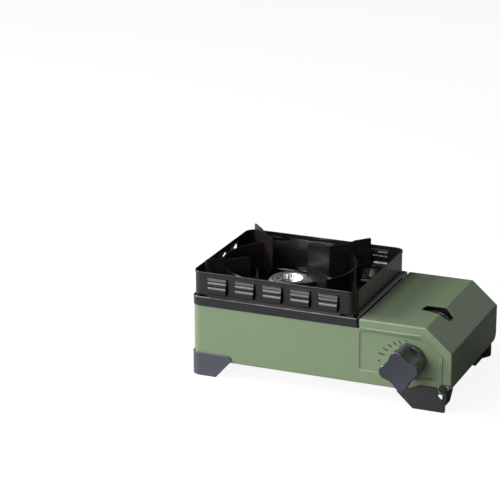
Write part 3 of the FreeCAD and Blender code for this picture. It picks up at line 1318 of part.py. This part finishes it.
save("drip_pan", make_drip_pan())
save("wind_guard", make_wind_guard())
save("blade_front_left", blade(225))
save("blade_rear_left", blade(135))
save("blade_front_right", blade(315))
save("blade_rear_right", blade_back_right())
for arc_name, first_turn in (("ring_arc_rear", 45), ("ring_arc_left", 135),
                             ("ring_arc_front", 225), ("ring_arc_right", 315)):
    save(arc_name, ring_arc(first_turn, first_turn + 90))
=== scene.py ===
import math
import bpy
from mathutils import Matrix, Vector


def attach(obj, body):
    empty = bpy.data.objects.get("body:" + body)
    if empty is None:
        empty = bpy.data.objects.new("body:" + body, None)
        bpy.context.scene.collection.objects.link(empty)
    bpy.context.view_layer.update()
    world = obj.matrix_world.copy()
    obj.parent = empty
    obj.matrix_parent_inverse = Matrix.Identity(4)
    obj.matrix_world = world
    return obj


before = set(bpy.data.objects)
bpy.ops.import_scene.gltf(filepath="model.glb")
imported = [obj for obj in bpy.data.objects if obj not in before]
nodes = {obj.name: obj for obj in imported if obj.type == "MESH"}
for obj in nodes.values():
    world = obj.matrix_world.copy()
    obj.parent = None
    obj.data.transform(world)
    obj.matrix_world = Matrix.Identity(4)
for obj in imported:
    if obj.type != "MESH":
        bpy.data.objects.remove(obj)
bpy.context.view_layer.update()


# Studio: a white table under three large soft boxes at the left and the front, a
# smaller one overhead, a weak one behind and a small one that edges the right side.
# The table's colour, as the stove's surfaces see it, is painted darker towards the right as painted shade,
# so that side falls dark.
def colour(hex_code, alpha=1.0):
    """sRGB hex to linear."""
    parts = [int(hex_code[i:i + 2], 16) / 255 for i in (0, 2, 4)]
    lin = [p / 12.92 if p <= 0.04045 else ((p + 0.055) / 1.055) ** 2.4 for p in parts]
    return (*lin, alpha)


def add_node(tree, kind, links=(), **settings):
    """A node with its settings, plain values on its sockets, and links (socket, output)."""
    node = tree.nodes.new(kind)
    for name, value in settings.items():
        if name.startswith("in_"):
            key = name[3:]
            socket = node.inputs[int(key)] if key.isdigit() else node.inputs[key.replace("_", " ")]
            socket.default_value = value
        else:
            setattr(node, name, value)
    for socket, output in links:
        tree.links.new(output, node.inputs[socket])
    return node


scene = bpy.context.scene
scene.view_settings.view_transform = "Standard"
world = bpy.data.worlds.new("studio_air")
scene.world = world
world.use_nodes = True
air = world.node_tree
air.nodes.clear()
seen = add_node(air, "ShaderNodeLightPath")
way = add_node(air, "ShaderNodeTexCoord")
bearing = add_node(air, "ShaderNodeSeparateXYZ", links=[(0, way.outputs["Generated"])])
dim = add_node(air, "ShaderNodeMapRange", in_1=-0.4, in_2=0.5, in_3=0.11, in_4=0.02,
               links=[(0, bearing.outputs["X"])])
room = add_node(air, "ShaderNodeBackground", in_Color=colour("E6E8EE"),
                links=[("Strength", dim.outputs[0])])
paper = add_node(air, "ShaderNodeBackground", in_Color=(1, 1, 1, 1), in_Strength=1.0)
both = add_node(air, "ShaderNodeMixShader",
                links=[(0, seen.outputs["Is Camera Ray"]), (1, room.outputs[0]), (2, paper.outputs[0])])
add_node(air, "ShaderNodeOutputWorld", links=[("Surface", both.outputs[0])])

TABLE_REACH = 6.0
edge_places = [(-TABLE_REACH, -TABLE_REACH, 0), (TABLE_REACH, -TABLE_REACH, 0),
               (TABLE_REACH, TABLE_REACH, 0), (-TABLE_REACH, TABLE_REACH, 0)]
table = bpy.data.meshes.new("table_top")
table.from_pydata(edge_places, [], [(0, 1, 2, 3)])
floor = bpy.data.objects.new("table_top", table)
scene.collection.objects.link(floor)
white = bpy.data.materials.new("white_seamless_paper")
white.use_nodes = True
sheet = white.node_tree
sheet.nodes.clear()
ray = add_node(sheet, "ShaderNodeLightPath")
spot = add_node(sheet, "ShaderNodeTexCoord")
across = add_node(sheet, "ShaderNodeSeparateXYZ", links=[(0, spot.outputs["Object"])])
# Painted shade: for every ray but the camera's, the table darkens from 0.38 to 0.08 between 6 and 26 cm to
# the right.
flag = add_node(sheet, "ShaderNodeMapRange", in_1=0.06, in_2=0.26, in_3=0.38, in_4=0.08,
                links=[(0, across.outputs["X"])])
lit = add_node(sheet, "ShaderNodeBsdfDiffuse", links=[("Color", flag.outputs[0])])
bleached = add_node(sheet, "ShaderNodeEmission", in_Color=(1, 1, 1, 1), in_Strength=0.9)
faint = add_node(sheet, "ShaderNodeBsdfDiffuse", in_Color=(0.12, 0.12, 0.12, 1))
seen_paper = add_node(sheet, "ShaderNodeAddShader", links=[(0, bleached.outputs[0]), (1, faint.outputs[0])])
mixed = add_node(sheet, "ShaderNodeMixShader",
                 links=[(0, ray.outputs["Is Camera Ray"]), (1, lit.outputs[0]), (2, seen_paper.outputs[0])])
add_node(sheet, "ShaderNodeOutputMaterial", links=[("Surface", mixed.outputs[0])])
floor.data.materials.append(white)

STOVE_HEART = (0.0, 0.0, 0.05)


def soft_light(name, place, width, height, power):
    """A soft box of the given size and watts, turned towards the stove."""
    lamp = bpy.data.lights.new(name, "AREA")
    lamp.shape = "RECTANGLE"
    lamp.size = width
    lamp.size_y = height
    lamp.energy = power
    holder = bpy.data.objects.new(name, lamp)
    scene.collection.objects.link(holder)
    holder.location = place
    holder.rotation_mode = "QUATERNION"
    holder.rotation_quaternion = (Vector(STOVE_HEART) - Vector(place)).to_track_quat("-Z", "Y")


soft_light("left_box", (-1.35, -1.55, 0.62), 1.3, 1.0, 18)
soft_light("side_box", (-1.85, -0.45, 1.0), 0.9, 0.8, 60)
soft_light("front_box", (-0.3, -2.2, 0.75), 1.2, 0.9, 33)
soft_light("overhead_box", (-0.62, -0.5, 1.35), 0.8, 0.5, 11)
soft_light("right_strip", (0.98, -0.8, 1.02), 0.3, 0.2, 2.6)
soft_light("back_wall", (0.9, 1.9, 0.85), 1.3, 1.0, 2.4)

# Long lens, a little above the front right corner.
CAMERA_PLACE = Vector((0.73815, -2.01525, 0.8535))
CAMERA_AIM = Vector((-0.10625, 0.01525, 0.1173))
lens = bpy.data.cameras.new("long_lens")
lens.sensor_width = 36
lens.lens = 156.96
lens.clip_start = 0.1
lens.clip_end = 30
camera = bpy.data.objects.new("long_lens", lens)
scene.collection.objects.link(camera)
camera.location = CAMERA_PLACE
camera.rotation_mode = "QUATERNION"
camera.rotation_quaternion = (CAMERA_AIM - CAMERA_PLACE).to_track_quat("-Z", "Y")
scene.camera = camera


# Bottom tray and body shell: deep-drawn steel sheet, degreased and spray
# painted sage green, then baked.  The paint is satin, with a fine orange peel.
def shade(node_names, material):
    """Gives CAD pieces one finish."""
    for name in node_names:
        nodes[name].data.materials.clear()
        nodes[name].data.materials.append(material)


def finish_tree(name, base, roughness, metallic=0.0, coat=0.0):
    """A new material of one base colour; its tree and shader are returned with it."""
    made = bpy.data.materials.new(name)
    made.use_nodes = True
    shader = made.node_tree.nodes["Principled BSDF"]
    shader.inputs["Base Color"].default_value = colour(base)
    shader.inputs["Roughness"].default_value = roughness
    shader.inputs["Metallic"].default_value = metallic
    shader.inputs["Coat Weight"].default_value = coat
    return made, made.node_tree, shader


def grain(tree, shader, size_mm, height_mm, rough_low, rough_high, base_a, base_b, edge_mm=0.25):
    """Cloudy colour and roughness, a bump of size_mm grains, and edges softened by edge_mm.

    Grain finer than about 0.4 mm would not show, so finer finishes are drawn that coarse."""
    where = add_node(tree, "ShaderNodeTexCoord")
    cloud_mm = 45.0
    fine = add_node(tree, "ShaderNodeTexNoise", in_Scale=1000 / size_mm, in_Detail=3.0,
                    links=[("Vector", where.outputs["Object"])])
    broad = add_node(tree, "ShaderNodeTexNoise", in_Scale=1000 / cloud_mm, in_Detail=2.0,
                     links=[("Vector", where.outputs["Object"])])
    rough = add_node(tree, "ShaderNodeMapRange", in_3=rough_low, in_4=rough_high,
                     links=[(0, broad.outputs["Fac"])])
    tone = add_node(tree, "ShaderNodeMix", data_type="RGBA", links=[(0, broad.outputs["Fac"])])
    tone.inputs[6].default_value = colour(base_a)
    tone.inputs[7].default_value = colour(base_b)
    edge = add_node(tree, "ShaderNodeBevel", samples=4, in_Radius=edge_mm / 1000)
    bump = add_node(tree, "ShaderNodeBump", in_Strength=0.35, in_Distance=height_mm / 1000,
                    links=[("Height", fine.outputs["Fac"]), ("Normal", edge.outputs[0])])
    tree.links.new(rough.outputs[0], shader.inputs["Roughness"])
    tree.links.new(tone.outputs[2], shader.inputs["Base Color"])
    tree.links.new(bump.outputs[0], shader.inputs["Normal"])


# Baked paint: a soft sheen over a sage green that looks even from a step away.
green, tree, shader = finish_tree("baked_sage_paint", "67775C", 0.34)
grain(tree, shader, 0.7, 0.02, 0.30, 0.38, "65755A", "69795E")
shade(["bottom_tray", "body_shell"], green)


# Feet: four mouldings of one ABS, screwed under the corners; the one under the knob has a darker copy as
# painted shade, the others a lighter grey copy painted as lit.  Spark-eroded moulds leave a fine matt
# grain.

# ABS, grained in the mould: matt, with a broad dull highlight; on the front right foot this darker copy is
# painted shade from the knob.
moulded, tree, shader = finish_tree("black_abs_and_painted_foot_shade", "1F1F23", 0.42)
grain(tree, shader, 0.5, 0.02, 0.38, 0.48, "1D1D21", "222226")
shade(["foot_front_right"], moulded)

# The lighter grey copy of the same ABS, painted as lit.
grey_abs, tree, shader = finish_tree("moulded_grey_abs_painted_lit", "3C3E46", 0.36)
grain(tree, shader, 0.5, 0.02, 0.32, 0.42, "393B43", "40424A")
shade(["foot_front_left", "foot_rear_left", "foot_rear_right"], grey_abs)

# Zinc plate, bright dipped: a cool grey metal, slightly cloudy.
zinc, tree, shader = finish_tree("zinc_plated_steel", "A9ABAE", 0.32, metallic=1.0)
grain(tree, shader, 1.2, 0.01, 0.26, 0.4, "A4A6A9", "B0B2B4")
shade(["foot_screws", "burner_screws", "regulator_screws", "hinge_rod", "knob_shaft"], zinc)


# Inner sheet parts: heat shield, cradle, stand and brackets, cut and bent from
# galvanised steel, with its cloudy grey spangle.

# Galvanised sheet: grey flakes some 7 mm across, each a little lighter or darker.
galvanised, tree, shader = finish_tree("galvanised_sheet", "9A9DA0", 0.4, metallic=1.0)
FLAKE_MM = 7.0
where = add_node(tree, "ShaderNodeTexCoord")
spangle = add_node(tree, "ShaderNodeTexVoronoi", in_Scale=1000 / FLAKE_MM,
                   links=[("Vector", where.outputs["Object"])])
flake = add_node(tree, "ShaderNodeMix", data_type="RGBA", links=[(0, spangle.outputs["Color"])])
flake.inputs[6].default_value = colour("8E9194")
flake.inputs[7].default_value = colour("A9ACAF")
cloud = add_node(tree, "ShaderNodeMapRange", in_3=0.34, in_4=0.5, links=[(0, spangle.outputs["Distance"])])
tree.links.new(flake.outputs[2], shader.inputs["Base Color"])
tree.links.new(cloud.outputs[0], shader.inputs["Roughness"])
shade(["heat_shield", "cartridge_cradle", "nozzle_bracket", "burner_stand", "igniter_bracket",
       "hinge_brackets", "electrode_bracket", "dish_posts", "locator_key"], galvanised)

# Rolled aluminium: the heat panel, pale and smooth.
aluminium, tree, shader = finish_tree("rolled_aluminium", "C9CBCD", 0.3, metallic=1.0)
grain(tree, shader, 1.5, 0.01, 0.26, 0.36, "C4C6C8", "CDCFD1")
shade(["heat_panel"], aluminium)


# Regulator, with its brass cover, receiver flange, magnet ring and red guide
# cup, in front of the cartridge bay.

# Die-cast zinc, left as cast: dull grey, slightly uneven.
cast, tree, shader = finish_tree("die_cast_zinc", "8C8E91", 0.45, metallic=1.0)
grain(tree, shader, 0.9, 0.05, 0.4, 0.52, "868889", "939597")
shade(["regulator_body"], cast)

# Polished stainless steel: the electrode's wire.
polished, tree, shader = finish_tree("polished_stainless", "D2D3D5", 0.18, metallic=1.0)
grain(tree, shader, 2.0, 0.008, 0.14, 0.24, "CDCED0", "D6D7D9")
shade(["electrode"], polished)

# Turned brass: warm, with a fine bright cut.
brass, tree, shader = finish_tree("turned_brass", "C8A15A", 0.28, metallic=1.0)
grain(tree, shader, 1.6, 0.01, 0.22, 0.34, "C39B52", "CFA963")
shade(["nozzle", "outlet_nipple", "diaphragm_cover", "valve_spindle"], brass)

# Drawn copper: the gas pipe, browned a little by handling.
copper, tree, shader = finish_tree("drawn_copper", "B8714C", 0.3, metallic=1.0)
grain(tree, shader, 1.6, 0.01, 0.24, 0.38, "B06A45", "C07A55")
shade(["gas_pipe"], copper)

# Iron and steel, blackened in oil: a matt near-black, slightly rough.
iron, tree, shader = finish_tree("blackened_iron", "1A1A1B", 0.5)
grain(tree, shader, 0.8, 0.04, 0.44, 0.58, "171718", "1E1E1F")
shade(["mixing_tube", "magnet_ring", "bay_bulkhead", "corner_screw"], iron)

# Stainless steel in a near-white copy with wide rounded edges: a painted highlight, the bright line round
# the rim in front of the dark bay.
buffed, tree, shader = finish_tree("stainless_painted_highlight", "F0F0F2", 0.3, metallic=1.0)
grain(tree, shader, 1.2, 0.01, 0.26, 0.36, "ECECEE", "F4F4F6", 1.3)
shade(["receiver_flange"], buffed)

# Dark red nylon: the cup that guides the cartridge's collar.
red, tree, shader = finish_tree("dark_red_nylon", "5E1A18", 0.4)
grain(tree, shader, 0.8, 0.02, 0.36, 0.46, "591716", "641D1B")
shade(["receiver_cup"], red)


# Burner: a deep bowl, a slotted ring of flame ports and a dish in its middle, all
# pressed from stainless steel.  Its stand is under the drip pan and the ring comes up
# through the pan's hole.

# Stainless steel, pressed and pickled: silver grey, with a soft broad shine.
pressed, tree, shader = finish_tree("pressed_stainless", "DADADA", 0.36, metallic=1.0)
grain(tree, shader, 1.0, 0.02, 0.3, 0.44, "D4D4D4", "E0E0E0")
shade(["burner_bowl", "burner_ring"], pressed)

# The same steel in the dish at the centre, in a darker and slightly warmer copy as painted shade.
heated, tree, shader = finish_tree("pressed_steel_painted_shade", "9C978C", 0.34, metallic=1.0)
grain(tree, shader, 1.6, 0.01, 0.3, 0.42, "948E82", "A5A096")
shade(["burner_dish"], heated)


# Ignition: a piezo unit in buff plastic, its insulated lead, and the electrode
# in a white ceramic sleeve beside the burner.

# PBT, moulded: matt buff.
buff, tree, shader = finish_tree("buff_pbt", "B9B29F", 0.45)
grain(tree, shader, 0.8, 0.02, 0.4, 0.5, "B4AD9A", "BEB7A4")
shade(["igniter_housing", "knob_cam", "igniter_plunger"], buff)

# Silicone rubber: the lead's sleeve, dull and pale.
silicone, tree, shader = finish_tree("silicone_rubber", "C9C3B8", 0.55)
grain(tree, shader, 0.8, 0.02, 0.5, 0.6, "C4BEB3", "CEC8BD")
shade(["igniter_lead"], silicone)

# Black rubber: hardly any shine.
rubber, tree, shader = finish_tree("black_rubber", "161617", 0.7)
grain(tree, shader, 0.8, 0.03, 0.64, 0.76, "131314", "1A1A1B")
shade(["lid_bumpers", "lead_clips"], rubber)

# Glazed ceramic: white and glassy.
ceramic, tree, shader = finish_tree("glazed_ceramic", "E9E8E3", 0.15)
grain(tree, shader, 3.0, 0.01, 0.12, 0.2, "E6E5E0", "ECEBE6")
shade(["electrode_insulator"], ceramic)


# Dial scale: ticks and two dots in near-black ink, pad printed on the recessed
# panel.  The ink is matt and a little greener than true black.
ink, tree, shader = finish_tree("black_pad_ink", "161A13", 0.5)
grain(tree, shader, 0.4, 0.01, 0.45, 0.55, "141811", "191D16")
shade(["dial_scale"], ink)


# Knob: a lobed phenolic moulding with a polished skin, pressed on a steel shaft that
# turns in a moulded bush.

# Polished phenolic: blue-black and glossy, so its hollow face mirrors the table.
glossy, tree, shader = finish_tree("polished_phenolic", "303139", 0.22)
grain(tree, shader, 1.2, 0.01, 0.19, 0.26, "2E2F37", "33343C")
shade(["knob"], glossy)
shade(["shaft_bush"], moulded)


# Cartridge lid: one bent steel sheet, sprayed and baked with the body so that their
# green agrees, with its left edge rolled round the hinge rod.
shade(["cartridge_lid"], green)


# Drip pan and wind guard: drawn and pressed steel in glossy black vitreous
# enamel, thick enough to round every edge.

# Vitreous enamel: glassy black, with sharp lights along each rounded edge.
enamel, tree, shader = finish_tree("black_vitreous_enamel", "0B0B0D", 0.12, coat=0.4)
grain(tree, shader, 2.5, 0.03, 0.1, 0.17, "09090B", "0E0E10", 0.5)
shade(["drip_pan"], enamel)

guard_enamel, tree, shader = finish_tree("grey_black_vitreous_enamel", "121214", 0.14, coat=0.1)
grain(tree, shader, 2.5, 0.03, 0.12, 0.2, "101012", "151517", 0.5)
shade(["wind_guard"], guard_enamel)


# Pot support: four toothed blades welded to a ring of bent strip, in heat-proof
# black paint that has gone slightly brown.
heatproof, tree, shader = finish_tree("heatproof_black_paint", "141211", 0.24)
grain(tree, shader, 0.9, 0.03, 0.18, 0.3, "12100F", "191615", 0.5)
shade(["blade_front_left", "blade_rear_left", "blade_front_right", "blade_rear_right",
       "ring_arc_rear", "ring_arc_left", "ring_arc_front", "ring_arc_right"], heatproof)


# Weld beads: the ring is tacked to both faces of each blade by two short runs of
# weld, one low and one high, each a row of overlapping drops, painted over.
RING_CENTRE = (-0.06125, 0.01615)
RUN_STARTS = (0.0835, 0.1005)
FIRST_BLADE_TURN = math.pi / 4
WELD_SIZES = {"Drops": 5, "Drop Size": 0.0009, "Pitch": 0.0012, "Ring Radius": 0.0713,
              "Side Angle": 0.0115}


def socket(tree, name, kind, value):
    """A named input of a node group, with its default value."""
    made = tree.interface.new_socket(name, in_out="INPUT", socket_type=kind)
    made.default_value = value
    return made


welds = bpy.data.node_groups.new("tack_welds", "GeometryNodeTree")
welds.interface.new_socket("Geometry", in_out="OUTPUT", socket_type="NodeSocketGeometry")
wanted = {}
for size_name, size in WELD_SIZES.items():
    kind = "NodeSocketInt" if isinstance(size, int) else "NodeSocketFloat"
    wanted[size_name] = socket(welds, size_name, kind, size)
given = add_node(welds, "NodeGroupInput")
step = add_node(welds, "ShaderNodeCombineXYZ", links=[("Z", given.outputs["Pitch"])])
row = add_node(welds, "GeometryNodeMeshLine", mode="OFFSET",
               links=[("Count", given.outputs["Drops"]), ("Offset", step.outputs[0])])
drop = add_node(welds, "GeometryNodeMeshIcoSphere", in_Subdivisions=3,
                links=[("Radius", given.outputs["Drop Size"])])
jitter = add_node(welds, "FunctionNodeRandomValue", in_2=0.85, in_3=1.1, in_Seed=3)
bead = add_node(welds, "GeometryNodeInstanceOnPoints",
                links=[("Points", row.outputs[0]), ("Instance", drop.outputs[0]),
                       ("Scale", jitter.outputs[1])])
corners = add_node(welds, "GeometryNodeMeshCircle", in_Vertices=4,
                   links=[("Radius", given.outputs["Ring Radius"])])
both_sides = add_node(welds, "GeometryNodeJoinGeometry")
for side in (-1.0, 1.0):
    lean = add_node(welds, "ShaderNodeMath", operation="MULTIPLY_ADD", in_1=side, in_2=FIRST_BLADE_TURN,
                    links=[(0, given.outputs["Side Angle"])])
    about = add_node(welds, "ShaderNodeCombineXYZ", links=[("Z", lean.outputs[0])])
    turned = add_node(welds, "GeometryNodeTransform",
                      links=[("Geometry", corners.outputs[0]), ("Rotation", about.outputs[0])])
    for height in RUN_STARTS:
        raised = add_node(welds, "GeometryNodeTransform", in_Translation=(*RING_CENTRE, height),
                          links=[("Geometry", turned.outputs[0])])
        placed = add_node(welds, "GeometryNodeInstanceOnPoints",
                          links=[("Points", raised.outputs[0]), ("Instance", bead.outputs[0])])
        welds.links.new(placed.outputs[0], both_sides.inputs[0])
solid = add_node(welds, "GeometryNodeRealizeInstances", links=[(0, both_sides.outputs[0])])
smooth = add_node(welds, "GeometryNodeSetShadeSmooth", links=[(0, solid.outputs[0])])
painted = add_node(welds, "GeometryNodeSetMaterial", in_Material=heatproof, links=[(0, smooth.outputs[0])])
add_node(welds, "NodeGroupOutput", links=[(0, painted.outputs[0])])
source = bpy.data.objects.new("weld_source", bpy.data.meshes.new("weld_source"))
scene.collection.objects.link(source)
maker = source.modifiers.new("tack_welds", "NODES")
maker.node_group = welds
for size_name, size in WELD_SIZES.items():
    maker[wanted[size_name].identifier] = size
bpy.context.view_layer.update()
ready = source.evaluated_get(bpy.context.evaluated_depsgraph_get())
beads = bpy.data.objects.new("weld_beads", bpy.data.meshes.new_from_object(ready))
source.modifiers.clear()
bpy.data.objects.remove(source)
scene.collection.objects.link(beads)
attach(beads, "pot_support")
